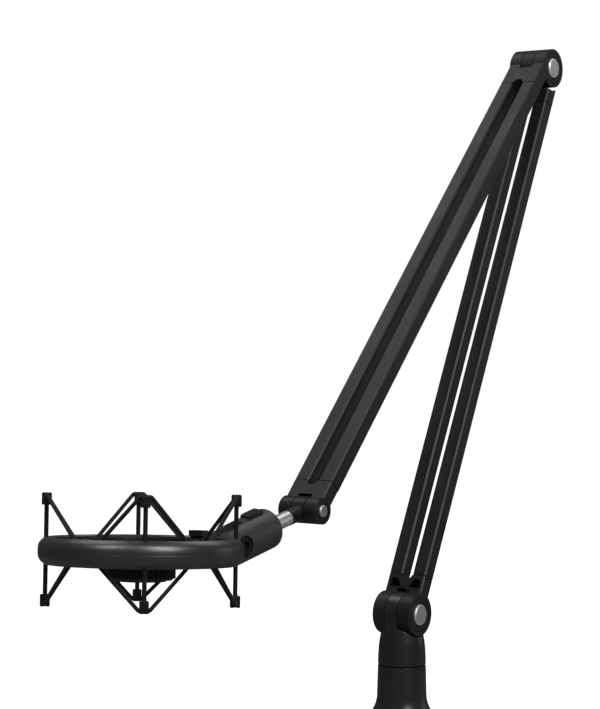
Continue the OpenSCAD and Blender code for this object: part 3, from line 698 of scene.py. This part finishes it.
def deepened_with_painted_shade(piece, place, floor, low, high):
    """Sinks the floors of a cap's two pockets further and gives the pockets the second finish, a near-black
    painted shade.
    """
    back = place.inverted()
    sunk = place.to_3x3() @ Vector((POCKET_SINK * MM, 0, 0))
    level, spare = 0.04, 0.1
    inner, outer = POCKET_SIDES
    for vert in piece.data.vertices:
        spot = back @ vert.co / MM
        within = low - spare < spot.z < high + spare and abs(spot.y) < outer + 2 * spare
        if within and abs(spot.x - floor) < level:
            vert.co -= sunk
    # Faces inside the pockets take the second finish: painted shade, near black.
    for face in piece.data.polygons:
        spots = [back @ piece.data.vertices[k].co / MM for k in face.vertices]
        if all(
            floor - POCKET_SINK - spare < spot.x < floor + POCKET_DEPTH
            and inner < abs(spot.y) < outer
            and low - spare < spot.z < high + spare
            for spot in spots
        ):
            face.material_index = 1


def sunk_rear(piece, place):
    """Moves the rear half of an upper rail further back, so that no light shows through the slot."""
    back = place.inverted()
    sunk = place.to_3x3() @ Vector((RAIL_SINK * MM, 0, 0))
    for vert in piece.data.vertices:
        if (back @ vert.co).x < 0:
            vert.co -= sunk


class STAND_OT_arms(bpy.types.Operator):
    """Rails, end caps and rail screws of both arm sections"""

    bl_idname = "stand.arms"
    bl_label = "Arm sections"

    def execute(self, context):
        rails = ["lower_left_rail", "lower_right_rail", "upper_left_rail", "upper_right_rail"]
        caps = ["lower_arm_foot_cap", "lower_arm_elbow_cap", "upper_arm_elbow_cap", "upper_arm_wrist_cap"]
        top = (ARM_LEN - ELBOW_JOINT) * MM
        for name in rails:
            lower = name.startswith("lower")
            place = LOWER_FRAME if lower else UPPER_FRAME
            ends = (place, (FOOT_JOINT if lower else WRIST_JOINT) * MM, top, sizes().joint_gap)
            rail = softened(name, sizes().rail_edge / MM, keep=in_slot(place), shorten=ends)
            finish_of(rail, black_coat())
            if not lower:
                sunk_rear(rail, place)
        # Painted shade for the caps' pockets: a near-black finish that stands in for their shadow.
        recess = coated_black("Painted recess shade", (0.007, 0.007, 0.007), 0.8, grain=1500, depth=0.3, gloss=0.2)
        for name, pin in zip(caps, (SHOULDER, ELBOW, ELBOW, WRIST)):
            cap = softened(name, sizes().cap_edge / MM, keep=on_seat(pin))
            finish_of(cap, black_moulding())
            if name in POCKETS:
                cap.data.materials.append(recess)
                deepened_with_painted_shade(cap, UPPER_FRAME if pin is WRIST else LOWER_FRAME, *POCKETS[name])
        dress(["lower_rail_screws", "upper_rail_screws"], black_steel(), sizes().fine_edge)
        return {"FINISHED"}


class STAND_OT_knuckles(bpy.types.Operator):
    """Pins, nuts, bushes and friction washers of the shoulder, elbow and wrist"""

    bl_idname = "stand.knuckles"
    bl_label = "Knuckles"

    def execute(self, context):
        silver = tuple(colours().silver)
        # Each pin's share darkens or brightens the one silver as painted light, since the pins stand in
        # different light; rim sets where the painted highlight of the bevel begins.
        for name, centre, radii, share in (
            ("shoulder", SHOULDER, BIG_PIN, 0.75),
            ("elbow", ELBOW, BIG_PIN, 0.95),
            ("wrist", WRIST, SMALL_PIN, 0.5),
        ):
            tone = shade(silver, share)
            steel = turned_metal(
                f"Turned {name} pin", tone, 0.5, centre, (0, 1, 0), metal=0.75, rim=radii[1] - 1
            )
            near = Matrix.Translation(centre) @ Matrix.Rotation(-math.pi / 2, 4, "X")
            far = Matrix.Translation(centre) @ Matrix.Rotation(math.pi / 2, 4, "X")
            pin, nut, bushes = bmesh.new(), bmesh.new(), bmesh.new()
            spun(pin, pin_outline(radii), near)
            spun(nut, nut_outline(radii), far)
            for side in (near, far):
                spun(bushes, bush_outline(radii), side)
            finish_of(shown_for(f"{name}_pin", pin), steel)
            finish_of(shown_for(f"{name}_nut", nut), steel)
            finish_of(shown_for(f"{name}_bushes", bushes), black_moulding())
            finish_node(f"{name}_washers", black_rubber())
        return {"FINISHED"}


# Underside of a pin head or a nut, top of a nut's recess and end of a pin, from the arm's middle
HEAD_LOW = ARM_HALF - 1.45
NUT_BORE_TOP = ARM_HALF - 1.1
PIN_END = 1.2 - ARM_HALF


def cap_outline(head):
    """Bevelled face of a pin head or a nut, from the axis out to the underside."""
    top = ARM_HALF + 0.9
    return [
        (0, top - 0.06),
        (head - 1.1, top - 0.06, 0.1),
        (head - 0.95, top, 0.06),
        (head - 0.75, top, 0.1),
        (head, top - 0.72, 0.12),
        (head, HEAD_LOW),
    ]


def pin_outline(radii):
    """Head and shank of a pin, chamfered at its end."""
    shank, head = radii[:2]
    return rounded([
        *cap_outline(head),
        (shank, HEAD_LOW),
        (shank, PIN_END + 0.4, 0.2),
        (shank - 0.4, PIN_END),
        (0, PIN_END),
    ])


def nut_outline(radii):
    """Round nut with a shallow recess that the pin's end lies in."""
    shank, head = radii[:2]
    return rounded([
        *cap_outline(head),
        (shank + 0.1, HEAD_LOW),
        (shank, NUT_BORE_TOP),
        (0, NUT_BORE_TOP),
    ])


def bush_outline(radii):
    """Flanged sleeve with the cup that the pin head lies in."""
    shank, _, sleeve, flange, cup = radii
    bore = shank + 0.02
    return rounded([
        (bore, TONGUE_HALF + 0.5),
        (sleeve, TONGUE_HALF + 0.5),
        (sleeve, ARM_HALF - 2.6),
        (flange, ARM_HALF - 2.6),
        (flange, ARM_HALF - 0.1, 0.3),
        (cup, ARM_HALF - 0.1, 0.25),
        (cup, ARM_HALF - 1.5),
        (bore, ARM_HALF - 1.5),
    ])


class STAND_OT_adapter(bpy.types.Operator):
    """Wrist stem, silver stud, adapter barrel, lock slide and tilt pivot"""

    bl_idname = "stand.adapter"
    bl_label = "Wrist and adapter"

    def execute(self, context):
        edge = sizes().cap_edge
        dress(["wrist_stem", "lock_slide"], black_moulding(), edge)
        grey = (0.045, 0.045, 0.047)
        anodised = coated_black("Anodised barrel", grey, 0.44, grain=2600, depth=0.2, gloss=0.8)
        dress(["adapter_barrel"], anodised, edge)
        silver = turned_metal("Turned stud", tuple(colours().silver), 0.3, WRIST, STUD_AXIS, metal=0.7)
        dress(["mic_stud"], silver, sizes().fine_edge)
        dark = (0.008, 0.008, 0.008)
        pivots = coated_black("Dark pivot steel", dark, 0.5, grain=1800, depth=0.1, gloss=0.25)
        dress(["pivot_screw", "pivot_nut"], pivots, sizes().fine_edge)
        finish_node("pivot_washers", black_rubber())
        return {"FINISHED"}


def forked_tip(bm, top, place):
    """Adds a post's forked end: a block with a round-bottomed notch that the cord lies in."""
    half, notch, low, floor, deep = 2.6, 1.12, top - 6.4, top - 1.75, 3.8
    outline = rounded([
        (-half, low, 0.6),
        (-half, top, 0.85),
        (-notch, top, 0.25),
        (-notch, floor, 1.0),
        (notch, floor, 1.0),
        (notch, top, 0.25),
        (half, top, 0.85),
        (half, low, 0.6),
    ])
    part = bmesh.new()
    verts = [part.verts.new((x * MM, -deep / 2 * MM, z * MM)) for x, z in outline]
    near = part.faces.new(verts)
    grown = bmesh.ops.extrude_face_region(part, geom=[near])["geom"]
    moved = [v for v in grown if isinstance(v, bmesh.types.BMVert)]
    bmesh.ops.translate(part, verts=moved, vec=(0, deep * MM, 0))
    bmesh.ops.recalc_face_normals(part, faces=part.faces)
    far = next(f for f in grown if isinstance(f, bmesh.types.BMFace))
    for face in (near, far):
        for thickness, depth in ((0.14, 0.32), (0.32, 0.14)):
            bmesh.ops.inset_region(
                part, faces=[face], thickness=thickness * MM, depth=depth * MM, use_even_offset=True
            )
    merge_into(bm, part, place)


def post_at(i):
    """Angle of a post round the ring, in degrees."""
    return 45 + 90 * i + POST_TURN


class STAND_OT_mount(bpy.types.Operator):
    """Shock ring, its bracket and its four posts"""

    bl_idname = "stand.mount"
    bl_label = "Shock ring"

    def execute(self, context):
        edge = sizes().cap_edge
        satin = moulded_ring("Satin ring", tuple(colours().moulding), 0.36)
        dress(["shock_ring"], satin, edge)
        bracket = softened("ring_bracket", edge / MM, first=(on_tab, TAB_ROUNDING))
        finish_of(bracket, black_moulding())
        moulding = tuple(colours().moulding)
        satin_post = coated_black("Satin posts", moulding, 0.3, grain=2400, depth=0.15, gloss=0.5)
        inside = 3  # how far below a tip's end the rod stops, inside the tip
        low, high = inside - POST_DOWN, POST_UP - inside
        rod = [(0, low), (POST_RADIUS, low), (POST_RADIUS, high), (0, high)]
        for i, name in enumerate(POSTS):
            spot = Matrix.Translation(ring_point(POST_CIRCLE, post_at(i), 0, 0) * MM)
            place = RING_FRAME @ spot @ Matrix.Rotation(math.radians(post_at(i)), 4, "Z")
            post = bmesh.new()
            spun(post, rod, place, 32)
            forked_tip(post, POST_UP, place)
            forked_tip(post, POST_DOWN, place @ Matrix.Rotation(math.pi, 4, "X"))
            finish_of(shown_for(name, post), satin_post)
        dress(["bracket_screws"], black_steel(), sizes().fine_edge)
        return {"FINISHED"}


class STAND_OT_elastics(bpy.types.Operator):
    """The two elastic loops between the posts and the cradle"""

    bl_idname = "stand.elastics"
    bl_label = "Elastics"

    def execute(self, context):
        cord = braided("Woven elastic", tuple(colours().cord))
        # node, path, and the heights in the ring's frame at the post tips and at the cradle's hooks
        loops = (
            ("upper_elastic", loop_path(28.8, 40.6, -1.0, 1), 27.0, 1.5),
            ("lower_elastic", loop_path(-27.4, 42.9, 1.6, -1), -26.0, -1.0),
        )
        for node, path, tips, hooks in loops:
            mesh = bpy.data.meshes.new(node + "_cord")
            cord_tube(mesh, path, CORD_RADIUS)
            piece = add_piece(node + "_cord", mesh, None)
            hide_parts(node)
            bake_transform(piece)
            finish_of(piece, cord)
            for polygon in mesh.polygons:
                polygon.use_smooth = True
        return {"FINISHED"}


def ring_point(radius, angle, across, height):
    """A point of the shock ring's frame: radius at an angle in degrees, then across it, in mm."""
    turn = math.radians(angle)
    return Vector((
        radius * math.cos(turn) - across * math.sin(turn),
        radius * math.sin(turn) + across * math.cos(turn),
        height,
    ))


def loop_path(saddle, hook_radius, hook_height, side):
    """The way of an elastic over the four post tips and round the four hooks, rounded and evened out."""
    corners = []
    for i in range(4):
        post = post_at(i)
        hook = post + 45
        for across, drop in ((-3, 0.35), (-2.3, 0), (0, 0), (2.3, 0), (3, 0.35)):
            corners.append(ring_point(POST_CIRCLE, post, across, saddle - side * drop))
        corners.append(ring_point(hook_radius, hook, -3.1, hook_height + side * 1.4))
        for k in range(-60, 61, 30):
            across = 2.6 * math.sin(math.radians(k)) / math.sin(math.radians(60))
            lift = side * 0.7 * (1 - math.cos(math.radians(k)))
            corners.append(ring_point(hook_radius, hook, across, hook_height + lift))
        corners.append(ring_point(hook_radius, hook, 3.1, hook_height + side * 1.4))
    path = []
    spacing, pull = 0.7, 0.9
    for i, here in enumerate(corners):
        nxt = corners[(i + 1) % len(corners)]
        last, after = corners[i - 1], corners[(i + 2) % len(corners)]
        span = (nxt - here).length
        steps = max(1, round(span / spacing))
        pull_in = (nxt - last).normalized() * min(span, (here - last).length) * pull
        pull_out = (after - here).normalized() * min(span, (after - nxt).length) * pull
        for k in range(steps):
            t = k / steps
            path.append(
                (2 * t**3 - 3 * t**2 + 1) * here
                + (t**3 - 2 * t**2 + t) * pull_in
                + (3 * t**2 - 2 * t**3) * nxt
                + (t**3 - t**2) * pull_out
            )
    return path


def cord_tube(mesh, path, radius):
    """A closed cord along a path in the ring's frame, with UV lengths in units of its own radius."""
    sides = 14
    bm = bmesh.new()
    rows = []
    for i, here in enumerate(path):
        along = (path[(i + 1) % len(path)] - path[i - 1]).normalized()
        out = Vector((here.x, here.y, 0)).normalized()
        across = (out - along * out.dot(along)).normalized()
        other = along.cross(across)
        row = []
        for k in range(sides):
            turn = math.tau * k / sides
            spot = here + (across * math.cos(turn) + other * math.sin(turn)) * radius
            row.append(bm.verts.new(RING_FRAME @ (spot * MM)))
        rows.append(row)
    layer = bm.loops.layers.uv.new("UVMap")
    travelled = 0.0
    for i, row in enumerate(rows):
        after = rows[(i + 1) % len(rows)]
        step = (path[(i + 1) % len(path)] - path[i]).length / radius
        for k in range(sides):
            j = (k + 1) % sides
            face = bm.faces.new((row[k], row[j], after[j], after[k]))
            spots = ((k, 0), (k + 1, 0), (k + 1, step), (k, step))
            for loop, (round_at, ahead) in zip(face.loops, spots):
                loop[layer].uv = (round_at / sides * 6, travelled + ahead)
        travelled += step
    bmesh.ops.recalc_face_normals(bm, faces=bm.faces)
    bm.to_mesh(mesh)
    bm.free()


class STAND_OT_cradle(bpy.types.Operator):
    """Cradle, its liner, the nut's washer and the locking nut"""

    bl_idname = "stand.cradle"
    bl_label = "Cradle and nut"

    def execute(self, context):
        dress(["cradle", "locking_nut"], black_moulding(), sizes().cap_edge)
        dress(["cradle_liner", "nut_washer"], black_rubber(), sizes().fine_edge)
        return {"FINISHED"}


class STAND_OT_stage(bpy.types.Operator):
    """Pale floor, soft lights and the camera of the reference view"""

    bl_idname = "stand.stage"
    bl_label = "Stage"

    def execute(self, context):
        floor_plane(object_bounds()[0].z - 0.001)
        soft_world()
        for lamp in LAMPS:
            soft_lamp(*lamp)
        reference_camera()
        return {"FINISHED"}


LAMPS = [
    # name, place, aims at, size, watts
    ("Key", (0.0, -1.1, 2.1), (0.0, 0.0, 0.25), (0.9, 0.9), 5.0),
    ("Left", (1.5, -0.11, 1.65), (0.2, 0.0, 0.15), (0.3, 0.8), 8),
    ("Right", (0.75, 1.42, 1.5), (0.1, 0.0, 0.15), (0.5, 1.3), 20),
    ("Back", (-1.1, 0.0, 1.6), (0.2, 0.0, 0.15), (0.8, 0.8), 2.8),
    ("Rim", (-1.7, 1.25, 0.5), (0.0, 0.0, 0.25), (0.9, 0.9), 1.2),
]
# How white a gloss sees the world and the floor, how bright the world lights the stand, and the
# floor's tone where the camera sees it and where it only throws light back
GLOSS_SHARE = 0.02
FLOOR_SHARE = 0.01
WORLD_LIGHT = 0.07
FLOOR_SEEN = 0.8
FLOOR_BOUNCE = 0.2

# The reference camera, worked out from the hinges and the long edges in the photograph
CAMERA_AT = (1.1129, 0.7205, 0.2659)
CAMERA_HEADING = math.radians(35.621)
CAMERA_PITCH = math.radians(1.285)
CAMERA_ROLL = math.radians(0.163)
FOCAL_PIXELS = 2184.66
PICTURE_HEIGHT = 709
SENSOR = 36


def seen_white(tree, glossy_share):
    """1 for what the camera or a glass sees, glossy_share for what a gloss mirrors, 0 for the rest."""
    path = tree.nodes.new("ShaderNodeLightPath")
    gloss = tree.nodes.new("ShaderNodeMath")
    gloss.operation = "MULTIPLY"
    gloss.inputs[1].default_value = glossy_share
    tree.links.new(path.outputs["Is Glossy Ray"], gloss.inputs[0])
    total = gloss.outputs[0]
    for ray in ("Is Camera Ray", "Is Transmission Ray"):
        larger = tree.nodes.new("ShaderNodeMath")
        larger.operation = "MAXIMUM"
        tree.links.new(total, larger.inputs[0])
        tree.links.new(path.outputs[ray], larger.inputs[1])
        total = larger.outputs[0]
    return total


def soft_world():
    """A world that lights the stand softly and looks white to the camera."""
    world = bpy.context.scene.world or bpy.data.worlds.new("Studio")
    bpy.context.scene.world = world
    world.use_nodes = True
    tree = world.node_tree
    tree.nodes.clear()
    out = tree.nodes.new("ShaderNodeOutputWorld")
    choose = tree.nodes.new("ShaderNodeMixShader")
    tree.links.new(seen_white(tree, GLOSS_SHARE), choose.inputs[0])
    for socket, strength in ((1, WORLD_LIGHT), (2, 1.0)):
        light = tree.nodes.new("ShaderNodeBackground")
        light.inputs[0].default_value = (1, 1, 1, 1)
        light.inputs[1].default_value = strength
        tree.links.new(light.outputs[0], choose.inputs[socket])
    tree.links.new(choose.outputs[0], out.inputs[0])


def floor_plane(height):
    """The pale floor of the stage."""
    bm = bmesh.new()
    bmesh.ops.create_grid(bm, x_segments=2, y_segments=2, size=8)
    bmesh.ops.translate(bm, verts=bm.verts, vec=(0, 0, height))
    mesh = bpy.data.meshes.new("Floor")
    bm.to_mesh(mesh)
    bm.free()
    floor = bpy.data.objects.new("Floor", mesh)
    bpy.context.scene.collection.objects.link(floor)
    floor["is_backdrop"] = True
    mat = bpy.data.materials.new("Pale floor")
    mat.use_nodes = True
    tree = mat.node_tree
    bsdf = tree.nodes["Principled BSDF"]
    pale = tree.nodes.new("ShaderNodeMix")
    pale.data_type = "RGBA"
    pale.inputs[6].default_value = (*[FLOOR_BOUNCE] * 3, 1)
    pale.inputs[7].default_value = (*[FLOOR_SEEN] * 3, 1)
    tree.links.new(seen_white(tree, 0.0), pale.inputs[0])
    tree.links.new(pale.outputs[2], bsdf.inputs["Base Color"])
    bsdf.inputs["Roughness"].default_value = 0.9
    bsdf.inputs["Emission Color"].default_value = (1, 1, 1, 1)
    tree.links.new(seen_white(tree, FLOOR_SHARE), bsdf.inputs["Emission Strength"])
    mesh.materials.append(mat)


def soft_lamp(name, place, target, size, watts):
    """A rectangular lamp turned towards its target."""
    data = bpy.data.lights.new(name, "AREA")
    data.shape = "RECTANGLE"
    data.size, data.size_y = size
    data.energy = watts
    lamp = bpy.data.objects.new(name, data)
    bpy.context.scene.collection.objects.link(lamp)
    lamp.location = place
    lamp.rotation_mode = "QUATERNION"
    lamp.rotation_quaternion = (Vector(target) - Vector(place)).to_track_quat("-Z", "Y")


def reference_camera():
    """The reference view: a long lens from the front right, a little above the shoulder."""
    right = Vector((-math.sin(CAMERA_HEADING), math.cos(CAMERA_HEADING), 0))
    toward = Vector((math.cos(CAMERA_HEADING), math.sin(CAMERA_HEADING), 0))
    rows = Matrix((right, (0, 0, -1), -toward))
    turned = Matrix.Rotation(CAMERA_ROLL, 3, "Z") @ Matrix.Rotation(CAMERA_PITCH, 3, "X") @ rows
    data = bpy.data.cameras.new("Reference")
    data.sensor_width = SENSOR
    data.lens = FOCAL_PIXELS / PICTURE_HEIGHT * SENSOR
    camera = bpy.data.objects.new("Reference", data)
    bpy.context.scene.collection.objects.link(camera)
    columns = Matrix((turned[0], -turned[1], -turned[2])).transposed()
    camera.matrix_world = Matrix.Translation(CAMERA_AT) @ columns.to_4x4()
    bpy.context.scene.camera = camera
    bpy.context.scene.view_settings.view_transform = "Standard"


OPERATORS = [
    STAND_OT_clamp,
    STAND_OT_base,
    STAND_OT_arms,
    STAND_OT_knuckles,
    STAND_OT_adapter,
    STAND_OT_mount,
    STAND_OT_elastics,
    STAND_OT_cradle,
    STAND_OT_stage,
]


class STAND_PT_panel(bpy.types.Panel):
    """Lists the pieces of the stand"""

    bl_label = "Microphone stand"
    bl_idname = "STAND_PT_panel"
    bl_space_type = "VIEW_3D"
    bl_region_type = "UI"
    bl_category = "Stand"

    def draw(self, context):
        for operator in OPERATORS:
            self.layout.operator(operator.bl_idname)
        for group in (context.scene.stand_sizes, context.scene.stand_colours):
            for key in group.bl_rna.properties.keys():
                if key not in ("rna_type", "name"):
                    self.layout.prop(group, key)


CLASSES = [StandColours, StandSizes, *OPERATORS, STAND_PT_panel]


def register():
    """Adds the settings, the operators and the panel."""
    for cls in CLASSES:
        bpy.utils.register_class(cls)
    bpy.types.Scene.stand_colours = bpy.props.PointerProperty(type=StandColours)
    bpy.types.Scene.stand_sizes = bpy.props.PointerProperty(type=StandSizes)


def unregister():
    """Takes away what register added."""
    del bpy.types.Scene.stand_sizes
    del bpy.types.Scene.stand_colours
    for cls in reversed(CLASSES):
        bpy.utils.unregister_class(cls)


def main():
    """Builds the scene, one operator after another."""
    register()
    for operator in OPERATORS:
        group, name = operator.bl_idname.split(".")
        getattr(getattr(bpy.ops, group), name)()


if __name__ == "__main__":
    main()
